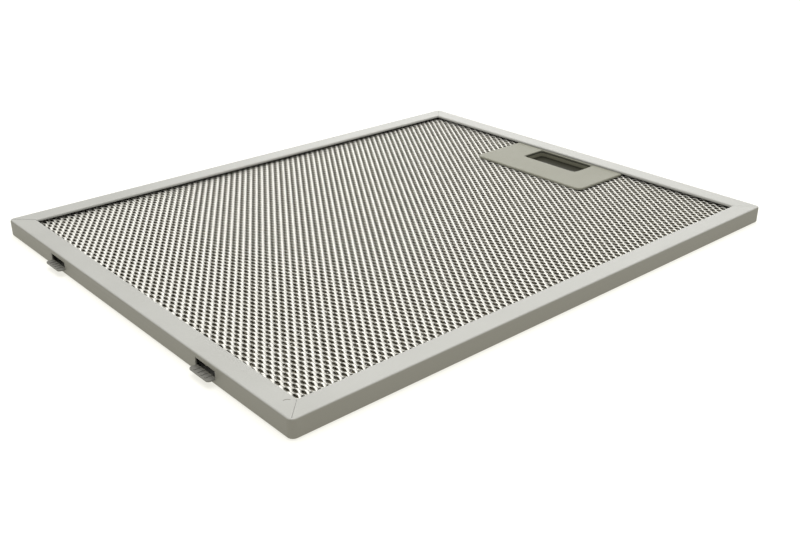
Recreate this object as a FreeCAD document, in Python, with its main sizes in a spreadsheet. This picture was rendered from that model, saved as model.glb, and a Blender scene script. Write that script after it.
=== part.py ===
"""Cooker hood grease filter: a folded aluminium channel frame round a pack of expanded mesh, with two lugs
lanced out of one short wall and a moulded handle with a sprung latch at the other.

The origin is the middle of the frame's rear face. X runs from the lug wall to the latch wall, Y along the
short sides, and Z from the rear face, which faces into the hood, to the front face, which faces the kitchen.
"""
import FreeCAD, Part
import Sketcher
import math
import os
import re

DRIVING_SIZES = [
    # the folded frame
    ("frame_length", 320.0),
    ("frame_width", 260.0),
    ("frame_height", 9.0),
    ("sheet_gauge", 0.6),
    ("flange_width", 11.0),
    ("corner_inside", 2.4),
    ("bend_inside", 0.3),
    ("mitre_gap", 0.12),
    ("joint_gap", 0.35),
    ("lip_depth", 1.3),
    # the lugs folded out of the left wall
    ("lug_width", 15.0),
    ("lug_slot_height", 3.6),
    ("lug_drop", 2.1),
    ("lug_spacing", 139.0),
    ("lug_offset", -1.2),
    ("lug_reach", 3.6),
    ("lug_corner", 1.6),
    ("rib_width", 0.7),
    ("rib_height", 0.25),
    ("rib_pitch", 2.8),
    # the mesh pack
    ("mesh_height", 1.25),
    ("layer_height", 0.5),
    ("mesh_margin", 1.0),
    ("strand_pitch", 2.0),
    ("strand_rise", 0.8),
    ("gap_width", 1.0),
    ("gap_bridge", 8.0),
    ("foil_cell_short", 26.0),
    ("foil_cell_long", 40.0),
    ("foil_strand_width", 6.5),
    ("foil_strand_bevel", 0.6),
    # the two handle mouldings
    ("handle_width", 84.0),
    ("handle_depth", 40.0),
    ("handle_offset", -1.4),
    ("plate_gauge", 1.2),
    ("plate_corner", 4.0),
    ("plate_edge", 0.7),
    ("plate_overlap", 3.0),
    ("fit_gap", 0.15),
    ("notch_gap", 0.5),
    ("housing_wall", 1.2),
    ("nose_reach", 7.0),
    ("pin_diameter", 3.0),
    ("pin_inset", 4.0),
    ("pin_gap", 0.1),
    # the finger pocket and the latch
    ("pocket_length", 41.0),
    ("pocket_width", 17.0),
    ("pocket_margin", 1.4),
    ("pocket_corner", 3.0),
    ("pocket_edge", 0.9),
    ("tray_wall", 1.0),
    ("tray_floor", 0.7),
    ("slide_gap", 0.3),
    ("wing_length", 8.0),
    ("stop_gap", 0.1),
    ("stop_width", 1.2),
    ("tongue_width", 28.0),
    ("tongue_reach", 3.6),
    ("tongue_ramp", 2.0),
    ("tongue_corner", 1.0),
    # the latch springs
    ("spring_wire", 0.4),
    ("spring_clearance", 0.4),
    ("spring_turns", 9.0),
    ("spring_end_gap", 0.06),
    ("peg_length", 2.5),
    ("peg_gap", 0.2),
]
INNER_LAYERS = 3
LUG_RIBS = 4
SIDES = (-1, 1)
TOLERANCE = 1e-4

doc = FreeCAD.newDocument("grease_filter")
dims = doc.addObject("Spreadsheet::Sheet", "dims")
for row, (alias, size) in enumerate(DRIVING_SIZES, start=1):
    dims.set(f"A{row}", alias)
    dims.set(f"B{row}", str(size))
    dims.setAlias(f"B{row}", alias)
doc.recompute()


def named(formula):
    """The formula with every driving size written as a reference to its cell."""
    aliases = "|".join(alias for alias, _ in DRIVING_SIZES)
    return re.sub(rf"\b({aliases})\b", r"dims.\1", formula)


def value(formula):
    """The number that a formula of driving sizes has now."""
    return float(dims.evalExpression(formula))


# Places that several pieces share, as formulas of the driving sizes
HALF_LENGTH = "(frame_length / 2)"
HALF_WIDTH = "(frame_width / 2)"
CORNER_OUTSIDE = "(corner_inside + sheet_gauge)"
BEND_OUTSIDE = "(bend_inside + sheet_gauge)"
PACK_HEIGHT = f"(2 * mesh_height + {INNER_LAYERS} * layer_height)"
PACK_BOTTOM = f"((frame_height - {PACK_HEIGHT}) / 2)"
PACK_TOP = f"((frame_height + {PACK_HEIGHT}) / 2)"
LIP_LEVEL = "(frame_height - lip_depth)"
WINDOW_X = f"({HALF_LENGTH} - flange_width)"
WINDOW_Y = f"({HALF_WIDTH} - flange_width)"
SHEET_X = f"({HALF_LENGTH} - sheet_gauge - mesh_margin)"
SHEET_Y = f"({HALF_WIDTH} - sheet_gauge - mesh_margin)"
PLATE_FRONT = f"({WINDOW_X} - handle_depth)"
PLATE_BACK = f"({WINDOW_X} - fit_gap)"
PLATE_TOP = f"({PACK_TOP} + plate_gauge)"
COVER_BOTTOM = f"({PACK_BOTTOM} - plate_gauge)"
HOUSING_FRONT = f"({PLATE_FRONT} + plate_overlap)"
HOUSING_INSIDE = f"({HOUSING_FRONT} + housing_wall)"
HOUSING_HALF = "(handle_width / 2 - plate_overlap)"
POCKET_BACK = f"({WINDOW_X} - pocket_margin)"
POCKET_FRONT = f"({POCKET_BACK} - pocket_width)"
TRAY_FRONT = f"({POCKET_FRONT} - tray_wall)"
TRAY_BACK = f"({POCKET_BACK} + tray_wall)"
TRAY_HALF = "(pocket_length / 2 + tray_wall)"
TRAY_BOTTOM = f"({PACK_BOTTOM} + slide_gap)"
TRAY_TOP = f"({PACK_TOP} - slide_gap)"
WING_HALF = f"({TRAY_HALF} + wing_length)"
SPRING_LEVEL = "(frame_height / 2)"
SPRING_OFFSET = f"({TRAY_HALF} + wing_length / 2)"
COIL_RADIUS = f"(({PACK_HEIGHT} - spring_wire) / 2 - spring_clearance)"
PEG_RADIUS = f"({COIL_RADIUS} - spring_wire / 2 - peg_gap)"
PIN_SIDE = f"({HOUSING_HALF} - housing_wall - pin_inset)"
PIN_ROWS = (f"({HOUSING_INSIDE} + pin_inset)", f"({PLATE_BACK} - pin_inset)")
LUG_TOP = "(frame_height - lug_drop)"
LUG_LEVEL = f"({LUG_TOP} - lug_slot_height)"


def across(distance, side):
    """A place at a distance to one side of the handle's middle, along Y."""
    return f"(handle_offset + {side} * {distance})"


def bind(feature, **formulas):
    """Bind properties to formulas; a double underscore in a name stands for a dot."""
    for name, formula in formulas.items():
        feature.setExpression(name.replace("__", "."), named(formula))


def origin_plane(body, role):
    return next(plane for plane in body.Origin.OriginFeatures if plane.Role == role)


def block(body, kind, name, low, high):
    """A box from its low to its high corner, each corner three formulas, added to or cut from a body."""
    feature = body.newObject(f"PartDesign::{kind}Box", name)
    spans = [f"({top}) - ({base})" for base, top in zip(low, high)]
    bind(feature, Length=spans[0], Width=spans[1], Height=spans[2])
    bind(feature, Placement__Base__x=low[0], Placement__Base__y=low[1], Placement__Base__z=low[2])
    doc.recompute()
    return feature


def across_block(body, kind, name, x_span, y_span, z_span, side):
    """A box on one side of the handle's middle, given by its distances from that middle."""
    ends = [across(distance, side) for distance in (y_span if side > 0 else y_span[::-1])]
    return block(body, kind, name, (x_span[0], ends[0], z_span[0]), (x_span[1], ends[1], z_span[1]))


def rod(body, kind, name, base, radius, length, axis=None):
    """A cylinder from a base point of three formulas, upright or turned so that its axis lies along X."""
    feature = body.newObject(f"PartDesign::{kind}Cylinder", name)
    bind(feature, Radius=radius, Height=length)
    if axis is not None:
        feature.Placement = FreeCAD.Placement(FreeCAD.Vector(), FreeCAD.Rotation(FreeCAD.Vector(0, 0, 1), axis))
    bind(feature, Placement__Base__x=base[0], Placement__Base__y=base[1], Placement__Base__z=base[2])
    doc.recompute()
    return feature


def rectangle(body, name, half_length, half_width, level):
    """A sketch of a rectangle about the origin, level with a height over the rear face."""
    sketch = body.newObject("Sketcher::SketchObject", name)
    sketch.AttachmentSupport = [(origin_plane(body, "XY_Plane"), "")]
    sketch.MapMode = "FlatFace"
    bind(sketch, AttachmentOffset__Base__z=level)
    reach_x = value(half_length)
    reach_y = value(half_width)
    corners = [FreeCAD.Vector(sx * reach_x, sy * reach_y, 0) for sx, sy in ((-1, -1), (1, -1), (1, 1), (-1, 1))]
    for index, corner in enumerate(corners):
        sketch.addGeometry(Part.LineSegment(corner, corners[(index + 1) % 4]), False)
    for index in range(4):
        sketch.addConstraint(Sketcher.Constraint("Coincident", index, 2, (index + 1) % 4, 1))
    for index in (0, 2):
        sketch.addConstraint(Sketcher.Constraint("Horizontal", index))
    for index in (1, 3):
        sketch.addConstraint(Sketcher.Constraint("Vertical", index))
    sketch.addConstraint(Sketcher.Constraint("Symmetric", 0, 1, 1, 2, -1, 1))
    length = sketch.addConstraint(Sketcher.Constraint("DistanceX", 0, 1, 0, 2, 2 * reach_x))
    width = sketch.addConstraint(Sketcher.Constraint("DistanceY", 1, 1, 1, 2, 2 * reach_y))
    sketch.setExpression(f"Constraints[{length}]", named(f"2 * {half_length}"))
    sketch.setExpression(f"Constraints[{width}]", named(f"2 * {half_width}"))
    doc.recompute()
    return sketch


def edge_names(shape, wanted):
    return [f"Edge{index}" for index, edge in enumerate(shape.Edges, start=1) if wanted(edge)]


def near(first, second):
    return abs(first - second) < TOLERANCE


def is_upright(edge):
    box = edge.BoundBox
    return box.XLength < TOLERANCE and box.YLength < TOLERANCE


def soften(body, kind, name, size, wanted):
    """A fillet or chamfer on the edges of a body's last feature that pass a test."""
    base = body.Tip
    feature = body.newObject(f"PartDesign::{kind}", name)
    feature.Base = (base, edge_names(base.Shape, wanted))
    bind(feature, **{"Radius" if kind == "Fillet" else "Size": size})
    doc.recompute()
    return feature


def new_body(label):
    body = doc.addObject("PartDesign::Body", label)
    body.Label = label
    return body


def frame_body():
    """The channel strip: outer wall, two flanges, turned-in lips, mitres, lugs and the latch's slot."""
    body = new_body("frame")
    outline = rectangle(body, "frame_outline", HALF_LENGTH, HALF_WIDTH, "0")
    pad = body.newObject("PartDesign::Pad", "frame_block")
    pad.Profile = outline
    bind(pad, Length="frame_height")
    doc.recompute()
    inside_x = f"({HALF_LENGTH} - sheet_gauge)"
    inside_y = f"({HALF_WIDTH} - sheet_gauge)"
    block(body, "Subtractive", "window",
          (f"-{WINDOW_X}", f"-{WINDOW_Y}", "0"), (WINDOW_X, WINDOW_Y, "frame_height"))
    block(body, "Subtractive", "channel",
          (f"-{inside_x}", f"-{inside_y}", "sheet_gauge"), (inside_x, inside_y, "frame_height - sheet_gauge"))

    def is_corner(edge, reach_x, reach_y):
        middle = edge.BoundBox.Center
        return is_upright(edge) and near(abs(middle.x), value(reach_x)) and near(abs(middle.y), value(reach_y))

    soften(body, "Fillet", "corner_bends", CORNER_OUTSIDE, lambda edge: is_corner(edge, HALF_LENGTH, HALF_WIDTH))
    soften(body, "Fillet", "corner_insides", "corner_inside", lambda edge: is_corner(edge, inside_x, inside_y))

    def on_face(edge):
        box = edge.BoundBox
        return box.ZLength < TOLERANCE and (near(box.ZMin, 0) or near(box.ZMin, value("frame_height")))

    def is_outer(edge):
        middle = edge.BoundBox.Center
        return on_face(edge) and (abs(middle.x) > value(f"{WINDOW_X} + flange_width / 2")
                                  or abs(middle.y) > value(f"{WINDOW_Y} + flange_width / 2"))

    soften(body, "Fillet", "wall_bends", BEND_OUTSIDE, is_outer)

    lip_levels = {"rear": ("0", PACK_BOTTOM), "front": (LIP_LEVEL, "frame_height")}
    lip_x = f"({WINDOW_X} + sheet_gauge)"
    lip_y = f"({WINDOW_Y} + sheet_gauge)"
    for face, (low, high) in lip_levels.items():
        for side in SIDES:
            end = "near" if side < 0 else "far"
            low_y, high_y = sorted((f"{side} * {WINDOW_Y}", f"{side} * {lip_y}"), key=value)
            block(body, "Additive", f"{face}_lip_{end}", (f"-{lip_x}", low_y, low), (lip_x, high_y, high))
            low_x, high_x = sorted((f"{side} * {WINDOW_X}", f"{side} * {lip_x}"), key=value)
            end = "left" if side < 0 else "right"
            block(body, "Additive", f"{face}_lip_{end}", (low_x, f"-{lip_y}", low), (high_x, lip_y, high))

    def is_lip_bend(edge):
        box = edge.BoundBox
        along_x = near(box.YLength, 0) and near(abs(box.YMin), value(WINDOW_Y))
        along_y = near(box.XLength, 0) and near(abs(box.XMin), value(WINDOW_X))
        return on_face(edge) and (along_x or along_y)

    soften(body, "Fillet", "lip_bends", BEND_OUTSIDE, is_lip_bend)
    mitre_seams(body)
    lugs(body)
    across_slot = [across("(tongue_width / 2 + slide_gap)", side) for side in SIDES]
    block(body, "Subtractive", "tongue_slot",
          (inside_x, across_slot[0], PACK_BOTTOM), (HALF_LENGTH, across_slot[1], PACK_TOP))
    return body


def mitre_seams(body):
    """A thin diagonal cut in both flanges at each corner; the strip's two ends meet at the far left corner."""
    bend_end = f"({CORNER_OUTSIDE} / 2)"
    for side_x in SIDES:
        for side_y in SIDES:
            is_joint = side_x < 0 < side_y
            seam = body.newObject("PartDesign::SubtractiveBox", f"mitre_{side_x + 1}{side_y + 1}")
            gap = "joint_gap" if is_joint else "mitre_gap"
            run = "flange_width" if is_joint else f"(flange_width - {bend_end})"
            bind(seam, Length=f"{run} * sqrt(2) + {gap}", Width=gap, Height="frame_height")
            angle = math.degrees(math.atan2(side_y, side_x))
            turn = FreeCAD.Rotation(FreeCAD.Vector(0, 0, 1), angle)
            seam.Placement = FreeCAD.Placement(FreeCAD.Vector(), turn)
            start = turn.multVec(FreeCAD.Vector(-1, -0.5, 0))
            bind(seam, Placement__Base__x=f"{side_x} * {WINDOW_X} + {start.x} * {gap}",
                 Placement__Base__y=f"{side_y} * {WINDOW_Y} + {start.y} * {gap}")
            doc.recompute()


def lugs(body):
    """Two slots in the left wall, each with the tab that was folded out of it and its stiffening ribs."""
    wall_inside = f"-({HALF_LENGTH} - sheet_gauge)"
    tip = f"-({HALF_LENGTH} + lug_reach)"
    for side in SIDES:
        end = "near" if side < 0 else "far"
        middle = f"(lug_offset + {side} * lug_spacing / 2)"
        low_y = f"({middle} - lug_width / 2)"
        high_y = f"({middle} + lug_width / 2)"
        block(body, "Subtractive", f"lug_slot_{end}",
              (f"-{HALF_LENGTH}", low_y, LUG_LEVEL), (wall_inside, high_y, LUG_TOP))
        block(body, "Additive", f"lug_{end}",
              (tip, low_y, f"{LUG_LEVEL} - sheet_gauge"), (wall_inside, high_y, LUG_LEVEL))
        soften(body, "Fillet", f"lug_corners_{end}", "lug_corner",
               lambda edge: is_upright(edge) and near(edge.BoundBox.XMin, value(tip)))
        for index in range(LUG_RIBS):
            place = f"({middle} + {index - (LUG_RIBS - 1) / 2} * rib_pitch)"
            block(body, "Additive", f"lug_rib_{end}_{index + 1}",
                  (f"{tip} + rib_width", f"{place} - rib_width / 2", f"{LUG_LEVEL} - sheet_gauge / 2"),
                  (wall_inside, f"{place} + rib_width / 2", f"{LUG_LEVEL} + rib_height"))


def sheet_blank(low, high):
    """A plain sheet that fits the frame's channel, with rounded corners and the notch for the handle's housing."""
    reach_x = value(SHEET_X)
    reach_y = value(SHEET_Y)
    blank = Part.makeBox(2 * reach_x, 2 * reach_y, high - low, FreeCAD.Vector(-reach_x, -reach_y, low))
    blank = blank.makeFillet(value("corner_inside"), [edge for edge in blank.Edges if is_upright(edge)])
    notch_front = value(f"{HOUSING_FRONT} - notch_gap")
    notch_half = value(f"{HOUSING_HALF} + notch_gap")
    corner = FreeCAD.Vector(notch_front, value("handle_offset") - notch_half, low)
    return blank.cut(Part.makeBox(reach_x - notch_front, 2 * notch_half, high - low, corner))


def sheet_piece(label, shape, gaps):
    """A node of the mesh pack from a shape and the solids of its gaps."""
    piece = doc.addObject("Part::Feature", label)
    piece.Label = label
    piece.Shape = shape.cut(gaps)
    print(f"{label}: {len(gaps)} gaps")
    return piece


def gap_spans(index):
    """The stretches along Y of the gaps beside one strand: one long gap, or two where the strands are joined."""
    end = value(WINDOW_Y)
    half_bridge = value("gap_bridge / 2")
    return [(-end, end)] if index % 2 == 0 else [(-end, -half_bridge), (half_bridge, end)]


def outer_sheet(label, bottom, top, facing):
    """An outer expanded sheet: a strand every pitch, tipped so that it falls from one edge to the other.

    The strands run along Y, and their fall makes a row of ridges on the side that faces out. Every second strand
    has gaps along its low edge, which stop where it is joined to the next. The rear sheet is the front one
    turned half round, so facing is 1 for the front sheet and -1 for the rear one.
    """
    low = value(bottom)
    high = value(top)
    pitch = value("strand_pitch")
    rise = value("strand_rise")
    reach_y = value(SHEET_Y)
    strands = math.ceil(value(SHEET_X) / pitch)
    edges = [(step + 0.5) * pitch for step in range(-strands - 1, strands + 1)]
    half = (high - low) / 2
    profile = [(edges[0], -half)]
    for start, finish in zip(edges, edges[1:]):
        profile += [(start, half), (finish, half - rise)]
    profile += [(edges[-1], -half), (edges[0], -half)]
    middle = (low + high) / 2
    corners = [FreeCAD.Vector(facing * x, -reach_y, middle + facing * z) for x, z in profile]
    ridged = Part.Face(Part.makePolygon(corners)).extrude(FreeCAD.Vector(0, 2 * reach_y, 0))
    shape = ridged.common(sheet_blank(low - pitch, high + pitch))
    width = value("gap_width")
    window_x = value(WINDOW_X)
    plate_front = value(PLATE_FRONT)
    plate_ends = [value(across("handle_width / 2", side)) for side in SIDES]
    gaps = []
    for index, edge in enumerate(edges[::2]):
        low_x, high_x = sorted((facing * edge, facing * (edge - width)))
        if max(-low_x, high_x) > window_x:
            continue
        spans = gap_spans(index)
        if high_x > plate_front:
            spans = [(-value(WINDOW_Y), plate_ends[0]), (plate_ends[1], value(WINDOW_Y))]
        for start, finish in spans:
            gaps.append(Part.makeBox(width, finish - start, high - low, FreeCAD.Vector(low_x, start, low)))
    return sheet_piece(label, shape, gaps)


def diamond(centre, half_x, half_y, level):
    """A closed wire round a diamond-shaped gap."""
    corners = [(half_x, 0), (0, half_y), (-half_x, 0), (0, -half_y), (half_x, 0)]
    return Part.makePolygon([FreeCAD.Vector(centre[0] + x, centre[1] + y, level) for x, y in corners])


def foil_sheet(label, bottom, top, turned, shift):
    """An inner foil: a sheet with staggered diamond gaps between bevelled strands.

    The gaps are whole cells inside the frame's window, clear of the handle. A turned foil has the long way of
    its cells along X, and shift moves the cells by a share of their pitch so that the foils don't line up.
    """
    low = value(bottom)
    high = value(top)
    pitch_x = value("foil_cell_short")
    pitch_y = value("foil_cell_long")
    if turned:
        pitch_x, pitch_y = pitch_y, pitch_x
    side_distance = pitch_x * pitch_y / 2 / math.hypot(pitch_x, pitch_y)
    narrow = 1 - value("foil_strand_width / 2") / side_distance
    wide = 1 - value("foil_strand_width / 2 - foil_strand_bevel") / side_distance
    half_x = wide * pitch_x / 2
    half_y = wide * pitch_y / 2
    window_x = value(WINDOW_X)
    window_y = value(WINDOW_Y)
    plate_front = value(PLATE_FRONT)
    plate_half = value("handle_width / 2")
    columns = math.ceil(window_x / pitch_x) + 1
    rows = math.ceil(2 * window_y / pitch_y)
    gaps = []
    for row in range(-rows, rows + 1):
        for column in range(-columns, columns + 1):
            x = (column + shift + (row % 2) / 2) * pitch_x
            y = row * pitch_y / 2
            in_window = abs(x) + half_x < window_x and abs(y) + half_y < window_y
            by_handle = x + half_x > plate_front and abs(y - value("handle_offset")) < half_y + plate_half
            if in_window and not by_handle:
                small = diamond((x, y), narrow * pitch_x / 2, narrow * pitch_y / 2, low)
                large = diamond((x, y), half_x, half_y, high)
                gaps.append(Part.makeLoft([small, large], True, True))
    return sheet_piece(label, sheet_blank(low, high), gaps)


def mesh_pack():
    """The two outer sheets and the foils between them, stacked on the rear lip."""
    pieces = [outer_sheet("back_mesh", PACK_BOTTOM, f"({PACK_BOTTOM} + mesh_height)", -1)]
    for index in range(INNER_LAYERS):
        low = f"({PACK_BOTTOM} + mesh_height + {index} * layer_height)"
        is_turned = index % 2 == 0
        shift = (index + 1) / (INNER_LAYERS + 1)
        pieces.append(foil_sheet(f"inner_layer_{index + 1}", low, f"({low} + layer_height)", is_turned, shift))
    pieces.append(outer_sheet("front_mesh", f"({PACK_TOP} - mesh_height)", PACK_TOP, 1))
    return pieces


def handle_outline(body, name, bottom, top, show):
    """The plate that both handle mouldings have, rounded at its front corners and along its showing edges."""
    ends = [across("handle_width / 2", side) for side in SIDES]
    block(body, "Additive", name, (PLATE_FRONT, ends[0], bottom), (PLATE_BACK, ends[1], top))
    soften(body, "Fillet", f"{name}_corners", "plate_corner",
           lambda edge: is_upright(edge) and near(edge.BoundBox.XMin, value(PLATE_FRONT)))

    def is_showing(edge):
        box = edge.BoundBox
        level = box.ZLength < TOLERANCE and near(box.ZMin, value(show))
        return level and not near(box.XMin, value(PLATE_BACK))

    soften(body, "Fillet", f"{name}_edges", "plate_edge", is_showing)


def handle_plate_body():
    """The front moulding: plate, finger opening, housing walls, stops, spring pegs and the pins for the back."""
    body = new_body("handle_plate")
    handle_outline(body, "plate", PACK_TOP, PLATE_TOP, PLATE_TOP)
    ends = [across("pocket_length / 2", side) for side in SIDES]
    block(body, "Subtractive", "finger_opening",
          (POCKET_FRONT, ends[0], PACK_TOP), (POCKET_BACK, ends[1], PLATE_TOP))
    opening_x = (value(POCKET_FRONT), value(POCKET_BACK))

    def in_opening(edge):
        box = edge.BoundBox
        return box.XMin > opening_x[0] - TOLERANCE and box.XMax < opening_x[1] + TOLERANCE \
            and abs(box.Center.y - value("handle_offset")) < value("pocket_length / 2") + TOLERANCE

    soften(body, "Fillet", "opening_corners", "pocket_corner", lambda edge: is_upright(edge) and in_opening(edge))
    soften(body, "Fillet", "opening_edges", "pocket_edge",
           lambda edge: in_opening(edge) and near(edge.BoundBox.ZMin, value(PLATE_TOP)))
    walls = (PACK_BOTTOM, PACK_TOP)
    ends = [across(HOUSING_HALF, side) for side in SIDES]
    block(body, "Additive", "front_wall",
          (HOUSING_FRONT, ends[0], PACK_BOTTOM), (HOUSING_INSIDE, ends[1], PACK_TOP))
    nose = f"({WINDOW_X} + nose_reach)"
    inner_half = f"({HOUSING_HALF} - housing_wall)"
    for side in SIDES:
        end = "near" if side < 0 else "far"
        across_block(body, "Additive", f"side_wall_{end}",
                     (HOUSING_FRONT, nose), (inner_half, HOUSING_HALF), walls, side)
        across_block(body, "Additive", f"nose_{end}",
                     (PLATE_BACK, nose), (inner_half, HOUSING_HALF), (PACK_BOTTOM, LIP_LEVEL), side)
        stop = f"({POCKET_FRONT} + stop_gap)"
        across_block(body, "Additive", f"stop_{end}", (stop, f"({stop} + stop_width)"),
                     (f"({TRAY_HALF} + slide_gap)", WING_HALF), (TRAY_BOTTOM, PACK_TOP), side)
        rod(body, "Additive", f"peg_{end}", (HOUSING_INSIDE, across(SPRING_OFFSET, side), SPRING_LEVEL),
            PEG_RADIUS, "peg_length", FreeCAD.Vector(1, 0, 0))
        for row, place in enumerate(PIN_ROWS, start=1):
            rod(body, "Additive", f"pin_{end}_{row}", (place, across(PIN_SIDE, side), COVER_BOTTOM),
                "pin_diameter / 2", f"{PACK_TOP} - {COVER_BOTTOM}")
    return body


def handle_back_body():
    """The rear moulding: the same plate the other way up, with a hole for each pin of the front one."""
    body = new_body("handle_back")
    handle_outline(body, "cover", COVER_BOTTOM, PACK_BOTTOM, COVER_BOTTOM)
    for side in SIDES:
        end = "near" if side < 0 else "far"
        for row, place in enumerate(PIN_ROWS, start=1):
            rod(body, "Subtractive", f"pin_hole_{end}_{row}", (place, across(PIN_SIDE, side), COVER_BOTTOM),
                "pin_diameter / 2 + pin_gap", "plate_gauge")
    return body


def latch_slide_body():
    """The moving tray under the finger opening, with its spring wings and the tongue that locks in the hood."""
    body = new_body("latch_slide")
    ends = [across(TRAY_HALF, side) for side in SIDES]
    block(body, "Additive", "tray", (TRAY_FRONT, ends[0], TRAY_BOTTOM), (TRAY_BACK, ends[1], TRAY_TOP))
    inner = [across("pocket_length / 2", side) for side in SIDES]
    block(body, "Subtractive", "tray_inside",
          (POCKET_FRONT, inner[0], f"({TRAY_BOTTOM} + tray_floor)"), (POCKET_BACK, inner[1], TRAY_TOP))
    soften(body, "Fillet", "tray_corners", "pocket_corner",
           lambda edge: is_upright(edge) and edge.BoundBox.XMin > value(TRAY_FRONT) + TOLERANCE
           and edge.BoundBox.XMax < value(TRAY_BACK) - TOLERANCE)
    for side in SIDES:
        end = "near" if side < 0 else "far"
        across_block(body, "Additive", f"wing_{end}", (TRAY_FRONT, POCKET_FRONT), (TRAY_HALF, WING_HALF),
                     (TRAY_BOTTOM, TRAY_TOP), side)
        rod(body, "Additive", f"wing_peg_{end}",
            (f"({TRAY_FRONT} - peg_length)", across(SPRING_OFFSET, side), SPRING_LEVEL),
            PEG_RADIUS, "peg_length", FreeCAD.Vector(1, 0, 0))
    tip = f"({HALF_LENGTH} + tongue_reach)"
    ends = [across("tongue_width / 2", side) for side in SIDES]
    block(body, "Additive", "tongue", (TRAY_BACK, ends[0], TRAY_BOTTOM), (tip, ends[1], TRAY_TOP))

    def is_leading(edge):
        box = edge.BoundBox
        return near(box.ZMax, value(TRAY_BOTTOM)) and near(box.XMin, value(tip))

    soften(body, "Chamfer", "ramp", "tongue_ramp", is_leading)
    soften(body, "Fillet", "tongue_corners", "tongue_corner",
           lambda edge: is_upright(edge) and near(edge.BoundBox.XMin, value(tip)))
    return body


def spring_body(side):
    """A coil spring along X from the housing's front wall to a wing of the latch."""
    end = "near" if side < 0 else "far"
    body = new_body(f"latch_spring_{end}")
    sketch = body.newObject("Sketcher::SketchObject", f"wire_{end}")
    sketch.AttachmentSupport = [(origin_plane(body, "XZ_Plane"), "")]
    sketch.MapMode = "FlatFace"
    centre = FreeCAD.Vector(value(COIL_RADIUS), 0, 0)
    sketch.addGeometry(Part.Circle(centre, FreeCAD.Vector(0, 0, 1), value("spring_wire") / 2), False)
    radius = sketch.addConstraint(Sketcher.Constraint("Radius", 0, value("spring_wire") / 2))
    reach = sketch.addConstraint(Sketcher.Constraint("DistanceX", -1, 1, 0, 3, value(COIL_RADIUS)))
    sketch.addConstraint(Sketcher.Constraint("PointOnObject", 0, 3, -1))
    sketch.setExpression(f"Constraints[{radius}]", named("spring_wire / 2"))
    sketch.setExpression(f"Constraints[{reach}]", named(COIL_RADIUS))
    doc.recompute()
    coil = body.newObject("PartDesign::AdditiveHelix", f"coil_{end}")
    coil.Profile = sketch
    coil.ReferenceAxis = (sketch, ["V_Axis"])
    coil.Mode = "height-turns-angle"
    length = f"({TRAY_FRONT} - {HOUSING_INSIDE} - spring_wire - 2 * spring_end_gap)"
    bind(coil, Height=length, Turns="spring_turns")
    turn = FreeCAD.Rotation(FreeCAD.Vector(0, 0, 1), FreeCAD.Vector(1, 0, 0))
    body.Placement = FreeCAD.Placement(FreeCAD.Vector(), turn)
    bind(body, Placement__Base__x=f"{HOUSING_INSIDE} + spring_wire / 2 + spring_end_gap",
         Placement__Base__y=across(SPRING_OFFSET, side), Placement__Base__z=SPRING_LEVEL)
    doc.recompute()
    return body


sub_parts = [frame_body()] + mesh_pack()
sub_parts += [handle_plate_body(), handle_back_body(), latch_slide_body()]
sub_parts += [spring_body(side) for side in SIDES]
doc.recompute()

for item in doc.Objects:
    if "Invalid" in item.State or "Error" in item.State:
        raise RuntimeError(f"{item.Label} failed: {item.State}")
for piece in sub_parts:
    if piece.Shape.isNull() or not piece.Shape.isValid():
        raise RuntimeError(f"{piece.Label} has no valid shape")

os.makedirs("parts", exist_ok=True)
for piece in sub_parts:
    piece.Shape.exportStep(f"parts/{piece.Label}.step")
    box = piece.Shape.BoundBox
    print(f"{piece.Label}: {len(piece.Shape.Solids)} solid, {piece.Shape.Volume:.1f} mm3,",
          f"x {box.XMin:.2f} to {box.XMax:.2f}, y {box.YMin:.2f} to {box.YMax:.2f},",
          f"z {box.ZMin:.2f} to {box.ZMax:.2f}")
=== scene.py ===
# %% [markdown]
# A cooker hood grease filter: a flat pad of expanded aluminium mesh, clamped in a folded aluminium channel,
# with a moulded finger handle on one side. The CAD model is loaded first and never moves. Everything made
# here is put round it in the same frame, in metres: +X runs from the lugs to the handle, and +Z up from the
# floor.

# %% Load the fixed frame
import math

import bpy
import numpy as np
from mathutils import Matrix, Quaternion, Vector


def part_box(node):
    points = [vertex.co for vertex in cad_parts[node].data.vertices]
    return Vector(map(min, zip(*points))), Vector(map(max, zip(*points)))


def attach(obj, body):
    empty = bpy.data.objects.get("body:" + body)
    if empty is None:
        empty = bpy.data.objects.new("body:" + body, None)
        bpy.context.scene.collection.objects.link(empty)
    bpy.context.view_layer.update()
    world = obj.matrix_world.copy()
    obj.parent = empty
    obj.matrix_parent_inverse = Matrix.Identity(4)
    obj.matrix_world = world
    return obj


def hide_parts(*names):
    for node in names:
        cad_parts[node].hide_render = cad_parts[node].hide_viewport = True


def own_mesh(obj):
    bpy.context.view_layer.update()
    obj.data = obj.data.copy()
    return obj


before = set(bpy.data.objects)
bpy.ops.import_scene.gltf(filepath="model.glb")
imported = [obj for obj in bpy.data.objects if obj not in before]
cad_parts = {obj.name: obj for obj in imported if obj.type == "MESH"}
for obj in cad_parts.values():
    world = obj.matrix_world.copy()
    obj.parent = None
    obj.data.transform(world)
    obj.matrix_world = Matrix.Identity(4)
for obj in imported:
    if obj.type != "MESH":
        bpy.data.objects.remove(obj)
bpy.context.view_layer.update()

MM = 0.001
print("CAD nodes:", sorted(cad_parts))

# %% [markdown]
# The camera comes first. The four corners of the frame's flat front are known in both the photograph and the
# model, so the eye, the point it looks at and the lens can be solved from them. A track rotation points the
# camera, and a tiny roll levels it.

# %% Camera
EYE = Vector((-0.3291, -0.3821, 0.2099))
AIM = Vector((-0.0424, -0.0565, 0.0090))
ROLL = -0.0023
LENS_MM = 44.52
SENSOR_MM = 36.0
CLIP_START = 0.01

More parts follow.
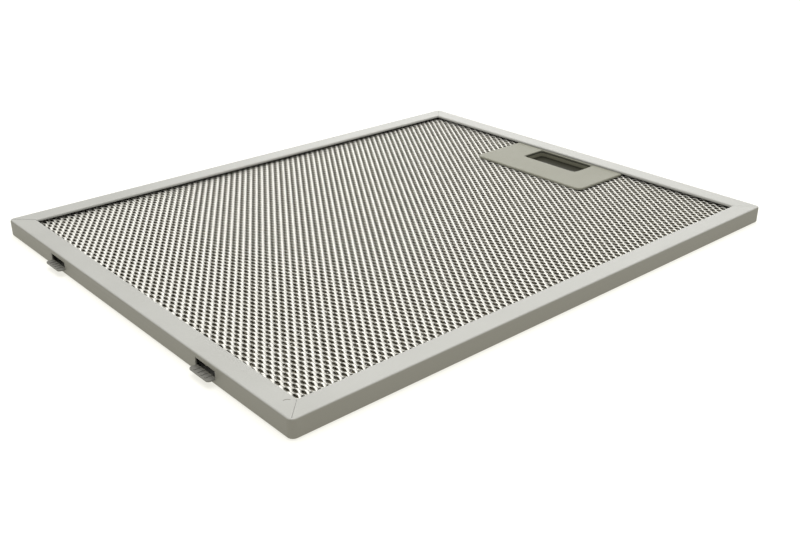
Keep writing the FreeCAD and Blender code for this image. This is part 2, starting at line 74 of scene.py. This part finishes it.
camera_data = bpy.data.cameras.new("photo_camera")
camera_data.sensor_fit = "HORIZONTAL"
camera_data.sensor_width = SENSOR_MM
camera_data.lens = LENS_MM
camera_data.clip_start = CLIP_START
camera = bpy.data.objects.new("photo_camera", camera_data)
bpy.context.collection.objects.link(camera)
camera.rotation_mode = "QUATERNION"
camera.rotation_quaternion = (AIM - EYE).to_track_quat("-Z", "Y") @ Quaternion((0.0, 0.0, 1.0), ROLL)
camera.location = EYE
bpy.context.scene.camera = camera
print("camera at", tuple(round(v, 3) for v in EYE))

# %% [markdown]
# Small helpers keep the finishes readable. A node's socket is either set to a value or linked to another
# node's output, so one function can do both, and each finish is then a few lines from coordinates to shader.
# Noise seldom leaves the middle of its range, so most ramps read it over a band there.

# %% Node helpers
NOISE_BAND = (0.3, 0.7)
NARROW_BAND = (0.35, 0.65)
# The Mix node has two inputs and an output for each kind of data, told apart only by their places.
MIX_PLACES = {"RGBA": (6, 7, 2), "VECTOR": (4, 5, 1)}


class Finish:
    """A node material under construction: its tree, its shader and its Object coordinates."""

    def __init__(self, name, metallic, specular):
        self.material = bpy.data.materials.new(name)
        self.material.use_nodes = True
        self.tree = self.material.node_tree
        self.shader = self.tree.nodes["Principled BSDF"]
        self.shader.inputs["Metallic"].default_value = metallic
        self.shader.inputs["Specular IOR Level"].default_value = specular
        self.place = self.add("ShaderNodeTexCoord").outputs["Object"]

    def feed(self, socket, value):
        """Set a socket to a value, or link another node's output to it."""
        if isinstance(value, bpy.types.NodeSocket):
            self.tree.links.new(value, socket)
        else:
            socket.default_value = value

    def add(self, kind, settings=None, **values):
        """Add a node with its settings and feed its sockets by name (an underscore stands for a space)."""
        node = self.tree.nodes.new(kind)
        for key, setting in (settings or {}).items():
            setattr(node, key, setting)
        for key, value in values.items():
            self.feed(node.inputs[key.replace("_", " ")], value)
        return node

    def math(self, operation, first, second=0.0):
        """One Math node of two numbers."""
        node = self.add("ShaderNodeMath", {"operation": operation})
        self.feed(node.inputs[0], first)
        self.feed(node.inputs[1], second)
        return node.outputs[0]

    def axes(self):
        """The X, Y and Z of the shaded place."""
        return self.add("ShaderNodeSeparateXYZ", Vector=self.place).outputs

    def past(self, value, middle, half):
        """How far a value is past a span: its distance from the middle, less half the span's length."""
        off_middle = self.math("ABSOLUTE", self.math("SUBTRACT", value, middle))
        return self.math("SUBTRACT", off_middle, half)

    def distance(self, point):
        """How far the shaded place is from a point."""
        node = self.add("ShaderNodeVectorMath", {"operation": "DISTANCE"})
        self.feed(node.inputs[0], self.place)
        self.feed(node.inputs[1], point)
        return node.outputs["Value"]

    def noise(self, scale, detail=3.0, vector=None):
        """Noise between 0 and 1 with so many cycles to the metre."""
        node = self.add("ShaderNodeTexNoise", Scale=scale, Detail=detail, Vector=vector or self.place)
        return node.outputs["Fac"]

    def ramp(self, value, band, ends=(0.0, 1.0)):
        """Map a value over a band to a number between two ends, and clamp it."""
        node = self.add("ShaderNodeMapRange", Value=value, From_Min=band[0], From_Max=band[1],
                        To_Min=ends[0], To_Max=ends[1])
        return node.outputs["Result"]

    def mix(self, share, first, second, kind="RGBA"):
        """Mix two colours, or two vectors, by a share."""
        first_place, second_place, result_place = MIX_PLACES[kind]
        node = self.add("ShaderNodeMix", {"data_type": kind}, Factor=share)
        self.feed(node.inputs[first_place], first)
        self.feed(node.inputs[second_place], second)
        return node.outputs[result_place]

    def shade(self, colour, roughness, height=None, bump=(0.0, 0.0)):
        """Feed the shader its colour and roughness, and bump of a strength and depth from a height."""
        self.feed(self.shader.inputs["Base Color"], colour)
        self.feed(self.shader.inputs["Roughness"], roughness)
        if height is not None:
            node = self.add("ShaderNodeBump", Height=height, Strength=bump[0], Distance=bump[1])
            self.feed(self.shader.inputs["Normal"], node.outputs["Normal"])
        return self.material


def wear(node_name, material):
    """Give a CAD node's object one material in all its slots."""
    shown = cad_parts[node_name]
    if not shown.material_slots:
        shown.data.materials.append(material)
    for slot in shown.material_slots:
        slot.material = material
    print(node_name, "wears", material.name)


# %% [markdown]
# The photograph has no shadow round the filter, as on a light table. So most of the floor's white is its own
# glow and it reflects little, which leaves hardly a shadow on it and lights the walls from below. A big soft
# light overhead makes the flat tops bright, a low one behind gives the far side of the mesh its sheen, and
# an even sky fills the shadows.

# %% Floor and light
FLOOR_DROP = 0.3 * MM
FLOOR_HALF = 4.0
FLOOR_GLOW = 0.74
PAPER_TONES = ((0.27, 0.27, 0.265, 1.0), (0.29, 0.29, 0.285, 1.0))
PAPER_LIGHTS = ((0.99, 0.975, 0.90, 1.0), (1.0, 0.985, 0.91, 1.0))
PAPER_ROUGHNESS = 0.9
OVERHEAD = {"name": "overhead_softbox", "power": 77.0, "size": 2.6, "place": (0.25, 0.2, 2.6)}
BACKDROP = {"name": "backdrop_softbox", "power": 18.0, "size": 1.6, "place": (1.5, 1.3, 0.7)}
SKY_TONE = (1.0, 1.0, 1.0, 1.0)
SKY_STRENGTH = 0.70

corners = np.array([[-1, -1], [1, -1], [1, 1], [-1, 1]]) * FLOOR_HALF
floor_mesh = bpy.data.meshes.new("floor")
floor_mesh.from_pydata(np.column_stack([corners, np.full(4, -FLOOR_DROP)]).tolist(), [], [(0, 1, 2, 3)])
floor = bpy.data.objects.new("floor", floor_mesh)
bpy.context.collection.objects.link(floor)

paper = Finish("paper_white", metallic=0.0, specular=0.2)
paper_cloud = paper.noise(scale=3.0)
paper.feed(paper.shader.inputs["Emission Color"], paper.mix(paper_cloud, *PAPER_LIGHTS))
paper.shader.inputs["Emission Strength"].default_value = FLOOR_GLOW
floor_mesh.materials.append(paper.shade(paper.mix(paper_cloud, *PAPER_TONES), PAPER_ROUGHNESS))

for soft in (OVERHEAD, BACKDROP):
    light_data = bpy.data.lights.new(soft["name"], "AREA")
    light_data.energy = soft["power"]
    light_data.size = soft["size"]
    light = bpy.data.objects.new(soft["name"], light_data)
    light.location = soft["place"]
    light.rotation_mode = "QUATERNION"
    light.rotation_quaternion = (-Vector(soft["place"])).to_track_quat("-Z", "Y")
    bpy.context.collection.objects.link(light)

sky = bpy.context.scene.world or bpy.data.worlds.new("sky")
bpy.context.scene.world = sky
sky.use_nodes = True
sky.node_tree.nodes["Background"].inputs["Color"].default_value = SKY_TONE
sky.node_tree.nodes["Background"].inputs["Strength"].default_value = SKY_STRENGTH
bpy.context.scene.view_settings.view_transform = "Standard"
print("floor", FLOOR_HALF * 2, "m wide, lights", OVERHEAD["size"], "and", BACKDROP["size"], "m")

# %% [markdown]
# The frame is rolled aluminium strip. Its grain runs along the strip, so it turns at each mitre. One Math
# comparison tells the long sides from the short ones, and picks between two stretched sets of coordinates
# for the noise.

# %% Frame grain
frame_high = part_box("frame")[1]
HALF_LENGTH = frame_high[0]
HALF_WIDTH = frame_high[1]
GRAIN_ALONG = 25.0
GRAIN_ACROSS = 2500.0
GRAIN_BAND = (0.35, 0.75)
GRAIN_SHARE = 0.12
GRAIN_TONE = (0.392, 0.39, 0.368, 1.0)
STRIP_TONES = ((0.330, 0.328, 0.302, 1.0), (0.356, 0.354, 0.328, 1.0))

strip = Finish("frame_aluminium_satin", metallic=0.12, specular=0.15)
strip_axes = strip.axes()
past_end = strip.past(strip_axes["X"], 0.0, HALF_LENGTH)
past_side = strip.past(strip_axes["Y"], 0.0, HALF_WIDTH)
on_long_side = strip.math("GREATER_THAN", past_side, past_end)
along_x = strip.add("ShaderNodeMapping", Vector=strip.place, Scale=(GRAIN_ALONG, GRAIN_ACROSS, GRAIN_ACROSS))
along_y = strip.add("ShaderNodeMapping", Vector=strip.place, Scale=(GRAIN_ACROSS, GRAIN_ALONG, GRAIN_ACROSS))
grain_place = strip.mix(on_long_side, along_y.outputs[0], along_x.outputs[0], kind="VECTOR")
grain = strip.noise(scale=1.0, detail=4.0, vector=grain_place)
cloud = strip.noise(scale=22.0, detail=4.0)
strip_tone = strip.mix(strip.ramp(cloud, NARROW_BAND), *STRIP_TONES)
strip_tone = strip.mix(strip.ramp(grain, GRAIN_BAND, (0.0, GRAIN_SHARE)), strip_tone, GRAIN_TONE)
print("frame grain", GRAIN_ACROSS / GRAIN_ALONG, "times as long as wide")

# %% [markdown]
# The walls get painted shade: below the top bend their colour is darker and warmer than the flat front. The
# lugs are darkened with painted shade too. Both are found by comparing X, Y and Z with the frame's own sizes.

# %% Walls and lugs
RIM_DEPTH = 3.0 * MM
WALL_SHADE_BAND = (8.55 * MM, 8.9 * MM)
WALL_SHADE_SHARE = 0.75
# Painted shade: the walls' darker, warmer colour stands in for the shade they are in.
WALL_SHADE_TONE = (0.19, 0.182, 0.145, 1.0)
LUG_EDGE = 0.1 * MM
LUG_SHADE_SHARE = 0.75
# Painted shade: the lugs' darker colour stands in for the shade on them.
LUG_SHADE_TONE = (0.15, 0.147, 0.135, 1.0)

at_rim = strip.math("GREATER_THAN", strip.math("MAXIMUM", past_end, past_side), -RIM_DEPTH)
wall_shade_mask = strip.math("MULTIPLY", at_rim, strip.ramp(strip_axes["Z"], WALL_SHADE_BAND, (WALL_SHADE_SHARE, 0.0)))
strip_tone = strip.mix(wall_shade_mask, strip_tone, WALL_SHADE_TONE)
lug_shade_mask = strip.math("LESS_THAN", strip_axes["X"], -HALF_LENGTH - LUG_EDGE)
strip_tone = strip.mix(strip.math("MULTIPLY", lug_shade_mask, LUG_SHADE_SHARE), strip_tone, LUG_SHADE_TONE)
print("walls are duller below", round(WALL_SHADE_BAND[1] / MM, 2), "mm")

# %% [markdown]
# One short bowed scratch lies near the front corner: it is where the distance to a point beside it is close
# to a radius, and the distance to its middle is small. The grain and the broad cloud then vary the
# roughness, and the grain gives a very low bump.

# %% Scratch and roughness
SCRATCH_MIDDLE = (-152.6 * MM, -117.1 * MM, 9.0 * MM)
SCRATCH_CENTRE = (-153.6 * MM, -119.0 * MM, 9.0 * MM)
SCRATCH_RADIUS = 2.15 * MM
SCRATCH_EDGE = (0.28 * MM, 0.112 * MM)
SCRATCH_REACH = (1.7 * MM, 1.19 * MM)
SCRATCH_TONE = (0.10, 0.09, 0.075, 1.0)
GRAIN_ROUGHNESS = (0.42, 0.5)
CLOUD_ROUGHNESS = (0.0, 0.06)
GRAIN_BUMP = (0.06, 0.03 * MM)

off_bow = strip.math("ABSOLUTE", strip.math("SUBTRACT", strip.distance(SCRATCH_CENTRE), SCRATCH_RADIUS))
on_bow = strip.ramp(off_bow, SCRATCH_EDGE)
in_reach = strip.ramp(strip.distance(SCRATCH_MIDDLE), SCRATCH_REACH)
strip_tone = strip.mix(strip.math("MULTIPLY", on_bow, in_reach), strip_tone, SCRATCH_TONE)
grain_rough = strip.ramp(grain, NOISE_BAND, GRAIN_ROUGHNESS)
cloud_rough = strip.ramp(cloud, NOISE_BAND, CLOUD_ROUGHNESS)
strip_rough = strip.math("ADD", grain_rough, cloud_rough)
wear("frame", strip.shade(strip_tone, strip_rough, grain, GRAIN_BUMP))

# %% [markdown]
# Expanded metal starts as a sheet with rows of short slits, pulled open sideways. Each ribbon between two
# rows of slits stays joined to its left and right neighbours in turn, so it zigzags, and it tips over as it
# is pulled. That is a profile carried along a path: a thin rectangle, tipped, along a zigzag. All the ribbons
# of a sheet are worked out as one array, with only eight triangles between two stations.

# %% Expanded metal as arrays
def steps(span, origin, pitch):
    """The whole numbers n for which origin + n * pitch lies in the span."""
    return np.arange(math.ceil((span[0] - origin) / pitch), math.floor((span[1] - origin) / pitch) + 1)


def ribbons(across_span, along_span, origin, cell, section, middle):
    """Points and faces of the zigzag ribbons over a rectangle of the sheet.

    A cell is its short pitch, long pitch and knuckle length, and a section its width, gauge and tip. Ribbon k
    has its middle at the origin + k * short pitch / 2, and its knuckle m at the origin + m * long pitch / 2.
    At a knuckle it leans to the next ribbon where k + m is even, and to the one before where it is odd, until
    their edges meet. The tipped section makes it sink by half its rise on the one side and climb by as much
    on the other. Returns points as (across, along, height) and the quads' corner numbers.
    """
    short_pitch, long_pitch, knuckle_length = cell
    width, gauge, tip = section
    k = steps(across_span, origin[0], short_pitch / 2)[:, None]
    m = steps(along_span, origin[1], long_pitch / 2)[None, :]
    side = np.where((k + m) % 2 == 0, 1.0, -1.0)
    lean = (short_pitch / 2 - width * math.cos(tip)) / 2
    rise = width * math.sin(tip) / 2
    across = np.repeat(origin[0] + k * short_pitch / 2 + side * lean, 2, axis=1)
    height = np.repeat(middle - side * rise, 2, axis=1)
    ends = np.array([-knuckle_length / 2, knuckle_length / 2])
    along = (origin[1] + m[0][:, None] * long_pitch / 2 + ends[None, :]).reshape(-1)
    flat = np.array([[-width, -gauge], [width, -gauge], [width, gauge], [-width, gauge]]) / 2
    turned_across = flat[:, 0] * math.cos(tip) - flat[:, 1] * math.sin(tip)
    turned_height = flat[:, 0] * math.sin(tip) + flat[:, 1] * math.cos(tip)
    points = np.empty((k.size, 2 * m.size, 4, 3))
    points[..., 0] = across[:, :, None] + turned_across
    points[..., 1] = along[None, :, None]
    points[..., 2] = height[:, :, None] + turned_height
    number = np.arange(points[..., 0].size).reshape(points.shape[:3])
    after = np.roll(number, -1, axis=2)
    walls = np.stack([number[:, :-1], number[:, 1:], after[:, 1:], after[:, :-1]], axis=-1).reshape(-1, 4)
    starts = number[:, 0]
    finishes = number[:, -1, ::-1]
    return points.reshape(-1, 3), np.concatenate([walls, starts, finishes])


# %% [markdown]
# A sheet has a notch for the handle, so it is several rectangles of ribbons. Their arrays are joined into one
# mesh, which is filled from whole arrays too, because that is far quicker than adding faces one by one.

# %% One mesh to a sheet
def box_middle(name):
    """The middle of a CAD node's box."""
    low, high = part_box(name)
    return [(low[axis] + high[axis]) / 2 for axis in range(3)]


def round_notch(reach_x, reach_y, notch_x, notch_y):
    """Spans in X and Y of three rectangles round a notch: one in front of it and one on each side of it."""
    return [((reach_x[0], notch_x), reach_y),
            ((notch_x, reach_x[1]), (reach_y[0], notch_y[0])),
            ((notch_x, reach_x[1]), (notch_y[1], reach_y[1]))]


def sheet_object(name, pieces, turned, material):
    """One object from several rectangles of ribbons.

    A turned sheet swaps across and along. That mirrors it, so the corners of its faces are counted backwards.
    """
    points = np.concatenate([piece[0] for piece in pieces])
    offsets = np.cumsum([0] + [len(piece[0]) for piece in pieces[:-1]])
    quads = np.concatenate([piece[1] + offset for piece, offset in zip(pieces, offsets)])
    if turned:
        points = points[:, [1, 0, 2]]
        quads = quads[:, ::-1]
    mesh = bpy.data.meshes.new(name)
    mesh.vertices.add(len(points))
    mesh.vertices.foreach_set("co", points.astype(np.float32).ravel())
    mesh.loops.add(quads.size)
    mesh.loops.foreach_set("vertex_index", quads.astype(np.int32).ravel())
    mesh.polygons.add(len(quads))
    mesh.polygons.foreach_set("loop_start", np.arange(0, quads.size, 4, dtype=np.int32))
    mesh.update(calc_edges=True)
    mesh.validate()
    mesh.materials.append(material)
    made = bpy.data.objects.new(name, mesh)
    bpy.context.collection.objects.link(made)
    print(name, 2 * len(quads), "triangles, height",
          (points[:, 2].min() / MM).round(2), "to", (points[:, 2].max() / MM).round(2), "mm")
    return made


# %% [markdown]
# The cut strands are bright aluminium. Their finish changes a little from strand to strand, which is what
# makes the mesh sparkle, so a noise about a strand wide drives the tone and the roughness. The foils behind
# them are less metallic, and painted shade makes their colour darker and warmer, which keeps the holes dark.

# %% Mesh and foil finishes
STRAND_TONES = ((0.505, 0.493, 0.446, 1.0), (0.595, 0.583, 0.531, 1.0))
FLECK_ROUGHNESS = (0.32, 0.42)
DRIFT_ROUGHNESS = (0.0, 0.05)
STRAND_BUMP = (0.2, 0.04 * MM)
FOIL_BAND = (0.4, 0.7)
# Painted shade: the foils' dark, warm tones stand in for the shade inside the holes.
FOIL_SHADE_TONES = ((0.30, 0.277, 0.212, 1.0), (0.41, 0.383, 0.307, 1.0))
FOIL_ROUGHNESS = (0.4, 0.55)
FOIL_BUMP = (0.3, 0.06 * MM)

strand = Finish("mesh_aluminium_bright", metallic=0.5, specular=0.9)
fleck = strand.noise(scale=700.0, detail=2.0)
drift = strand.noise(scale=30.0)
strand_tone = strand.mix(strand.ramp(fleck, NARROW_BAND), *STRAND_TONES)
fleck_rough = strand.ramp(fleck, NOISE_BAND, FLECK_ROUGHNESS)
drift_rough = strand.ramp(drift, NOISE_BAND, DRIFT_ROUGHNESS)
strand_rough = strand.math("ADD", fleck_rough, drift_rough)
cut_marks = strand.noise(scale=2600.0, detail=2.0)
strand_finish = strand.shade(strand_tone, strand_rough, cut_marks, STRAND_BUMP)

foil = Finish("foil_aluminium_shaded", metallic=0.4, specular=0.4)
foil_fleck = foil.noise(scale=500.0)
foil_shade_tone = foil.mix(foil.ramp(foil_fleck, FOIL_BAND), *FOIL_SHADE_TONES)
foil_rough = foil.ramp(foil_fleck, NOISE_BAND, FOIL_ROUGHNESS)
crimp = foil.noise(scale=1800.0, detail=2.0)
foil_finish = foil.shade(foil_shade_tone, foil_rough, crimp, FOIL_BUMP)
print("finishes:", strand_finish.name, foil_finish.name)

# %% [markdown]
# The two outer sheets have cells of 4 by 6.1 mm. They reach a few millimetres into the channel and stop at
# the handle's housing. All three rectangles count their ribbons from one origin, so the zigzags go on from
# one to the next. A sheet is cut and laid by hand, a little askew, so the finished points are slid by a small
# share of their place.

# %% Front and back mesh
MESH_CELL = (3.97 * MM, 6.12 * MM, 1.7 * MM)
MESH_SECTION = (1.58 * MM, 0.36 * MM, math.radians(-18.0))
MESH_ORIGIN = (-145.04 * MM, -119.55 * MM)
MESH_X = (-158.0 * MM, 152.6 * MM)
MESH_Y = (-123.3 * MM, 124.4 * MM)
MESH_NOTCH_X = 107.2 * MM
MESH_NOTCH_Y = (-41.6 * MM, 39.8 * MM)
ASKEW = (0.0231, -0.0034)


def laid_askew(points):
    """Slide each point along X by a share of its Y from the origin, and along Y by a share of its X."""
    place = points[:, :2] - MESH_ORIGIN
    slid = points.copy()
    slid[:, 0] += ASKEW[0] * place[:, 1]
    slid[:, 1] += ASKEW[1] * place[:, 0]
    return slid


for name in ("front_mesh", "back_mesh"):
    middle = box_middle(name)[2]
    areas = round_notch(MESH_X, MESH_Y, MESH_NOTCH_X, MESH_NOTCH_Y)
    rows = [ribbons(across, along, MESH_ORIGIN, MESH_CELL, MESH_SECTION, middle) for across, along in areas]
    rows = [(laid_askew(points), quads) for points, quads in rows]
    made = sheet_object(name + "_strands", rows, False, strand_finish)
    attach(made, "filter")
    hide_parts(name)

# %% [markdown]
# Between them lie three crimped foils with coarser cells. The first and third are turned a quarter, so that
# no hole lines up with the next, which is how the filter catches grease. They show only as the dark grey in
# the holes. The ribbons of a turned foil run along X, so its rectangles are cut the other way.

# %% Inner foils
FOIL_CELL = (5.2 * MM, 8.0 * MM, 1.6 * MM)
FOIL_SECTION = (1.9 * MM, 0.10 * MM, math.radians(5.5))
FOIL_ORIGINS = ((-122.0 * MM, -153.0 * MM), (-154.4 * MM, -121.6 * MM), (-120.9 * MM, -151.2 * MM))
FOIL_X = (-157.0 * MM, 154.0 * MM)
FOIL_Y = (-123.0 * MM, 123.0 * MM)
FOIL_NOTCH_X = 110.3 * MM
FOIL_NOTCH_Y = (-42.0 * MM, 39.2 * MM)
UNTURNED_LAYER = 2

for layer, origin in enumerate(FOIL_ORIGINS, start=1):
    name = "inner_layer_%d" % layer
    turned = layer != UNTURNED_LAYER
    middle = box_middle(name)[2]
    if turned:
        areas = [((FOIL_Y[0], FOIL_NOTCH_Y[0]), FOIL_X),
                 (FOIL_NOTCH_Y, (FOIL_X[0], FOIL_NOTCH_X)),
                 ((FOIL_NOTCH_Y[1], FOIL_Y[1]), FOIL_X)]
    else:
        areas = round_notch(FOIL_X, FOIL_Y, FOIL_NOTCH_X, FOIL_NOTCH_Y)
    rows = [ribbons(across, along, origin, FOIL_CELL, FOIL_SECTION, middle) for across, along in areas]
    made = sheet_object(name + "_foil", rows, turned, foil_finish)
    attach(made, "filter")
    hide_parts(name)

# %% [markdown]
# The handle is moulded in a warm grey plastic with a fine matt texture from its mould. A fine noise gives the
# bump, and a broad one a faint change of tone, as moulded plates have. Painted shade darkens the walls of the
# pocket: it is where the larger of two distances past the pocket's sides is below the rounding of its
# edge.

# %% Handle finish
MOULDED_TONES = ((0.205, 0.202, 0.160, 1.0), (0.219, 0.216, 0.174, 1.0))
TEXTURE_SHARE = 0.1
TEXTURE_TONE = (0.17, 0.167, 0.133, 1.0)
MOULDED_ROUGHNESS = (0.5, 0.62)
MOULDED_BUMP = (0.15, 0.05 * MM)
POCKET_MIDDLE = (139.1 * MM, -1.4 * MM)
POCKET_HALF = (8.5 * MM, 20.5 * MM)
POCKET_SHADE_BAND = (0.6 * MM, 0.06 * MM)
POCKET_SHADE_FOOT = 3.0 * MM
POCKET_SHADE_SHARE = 0.85
# Painted shade on the walls of the pocket.
POCKET_SHADE_TONE = (0.045, 0.044, 0.031, 1.0)

moulded = Finish("handle_grey_matt", metallic=0.0, specular=0.15)
texture = moulded.noise(scale=2600.0)
flow = moulded.noise(scale=45.0)
moulded_tone = moulded.mix(moulded.ramp(flow, NOISE_BAND), *MOULDED_TONES)
in_texture = moulded.ramp(texture, NOISE_BAND, (0.0, TEXTURE_SHARE))
moulded_tone = moulded.mix(in_texture, moulded_tone, TEXTURE_TONE)
moulded_axes = moulded.axes()
past_pocket_x = moulded.past(moulded_axes["X"], POCKET_MIDDLE[0], POCKET_HALF[0])
past_pocket_y = moulded.past(moulded_axes["Y"], POCKET_MIDDLE[1], POCKET_HALF[1])
past_pocket = moulded.math("MAXIMUM", past_pocket_x, past_pocket_y)
pocket_shade_mask = moulded.ramp(past_pocket, POCKET_SHADE_BAND, (0.0, POCKET_SHADE_SHARE))
over_back = moulded.math("GREATER_THAN", moulded_axes["Z"], POCKET_SHADE_FOOT)
moulded_tone = moulded.mix(moulded.math("MULTIPLY", pocket_shade_mask, over_back), moulded_tone, POCKET_SHADE_TONE)
moulded_rough = moulded.ramp(texture, NOISE_BAND, MOULDED_ROUGHNESS)
handle_finish = moulded.shade(moulded_tone, moulded_rough, texture, MOULDED_BUMP)
wear("handle_plate", handle_finish)
wear("handle_back", handle_finish)

# %% [markdown]
# The latch below the finger opening is moulded too. Its tray is all that shows of it from the front. Its
# tones are lightened as painted light, so the tray's walls look lit, and painted shade makes it dark below,
# so the height mixes two tones. The tongue past the tray's end has the same painted shade.

# %% Latch finish
# Painted light: the latch tones are lighter than its dark plastic, so the tray's walls look lit.
LATCH_TONES_WITH_PAINTED_LIGHT = ((0.20, 0.195, 0.143, 1.0), (0.23, 0.224, 0.165, 1.0))
LATCH_ROUGHNESS = (0.45, 0.6)
LATCH_BUMP = (0.2, 0.05 * MM)
TRAY_BAND = (3.6 * MM, 4.4 * MM)
TRAY_END = 149.0 * MM
TRAY_SHADE_SHARE = 0.96
# Painted shade: the dark tone low in the tray and past its end.
TRAY_SHADE_TONE = (0.020, 0.0195, 0.013, 1.0)

latch = Finish("latch_dark_matt", metallic=0.0, specular=0.1)
latch_texture = latch.noise(scale=2200.0)
latch_light_and_shade_tone = latch.mix(latch.ramp(latch_texture, NOISE_BAND), *LATCH_TONES_WITH_PAINTED_LIGHT)
latch_axes = latch.axes()
tray_shade_mask = latch.ramp(latch_axes["Z"], TRAY_BAND, (TRAY_SHADE_SHARE, 0.0))
past_tray = latch.math("GREATER_THAN", latch_axes["X"], TRAY_END)
latch_light_and_shade_tone = latch.mix(latch.math("MAXIMUM", tray_shade_mask, past_tray), latch_light_and_shade_tone, TRAY_SHADE_TONE)
latch_rough = latch.ramp(latch_texture, NOISE_BAND, LATCH_ROUGHNESS)
wear("latch_slide", latch.shade(latch_light_and_shade_tone, latch_rough, latch_texture, LATCH_BUMP))

# %% [markdown]
# Two coil springs push the latch out. They shorten as it is drawn in. Each gets its own copy of its mesh.
# Their wire is drawn steel, with fine marks that vary its tone and roughness.

# %% Springs
WIRE_TONES = ((0.45, 0.45, 0.44, 1.0), (0.60, 0.60, 0.59, 1.0))
WIRE_ROUGHNESS = (0.25, 0.38)
WIRE_BUMP = (0.1, 0.02 * MM)

wire = Finish("spring_steel_drawn", metallic=1.0, specular=0.5)
draw_marks = wire.noise(scale=4000.0, detail=2.0)
wire_tone = wire.mix(wire.ramp(draw_marks, NOISE_BAND), *WIRE_TONES)
wire_finish = wire.shade(wire_tone, wire.ramp(draw_marks, NOISE_BAND, WIRE_ROUGHNESS), draw_marks, WIRE_BUMP)
for name in ("latch_spring_near", "latch_spring_far"):
    wear(name, wire_finish)
    middle = box_middle(name)
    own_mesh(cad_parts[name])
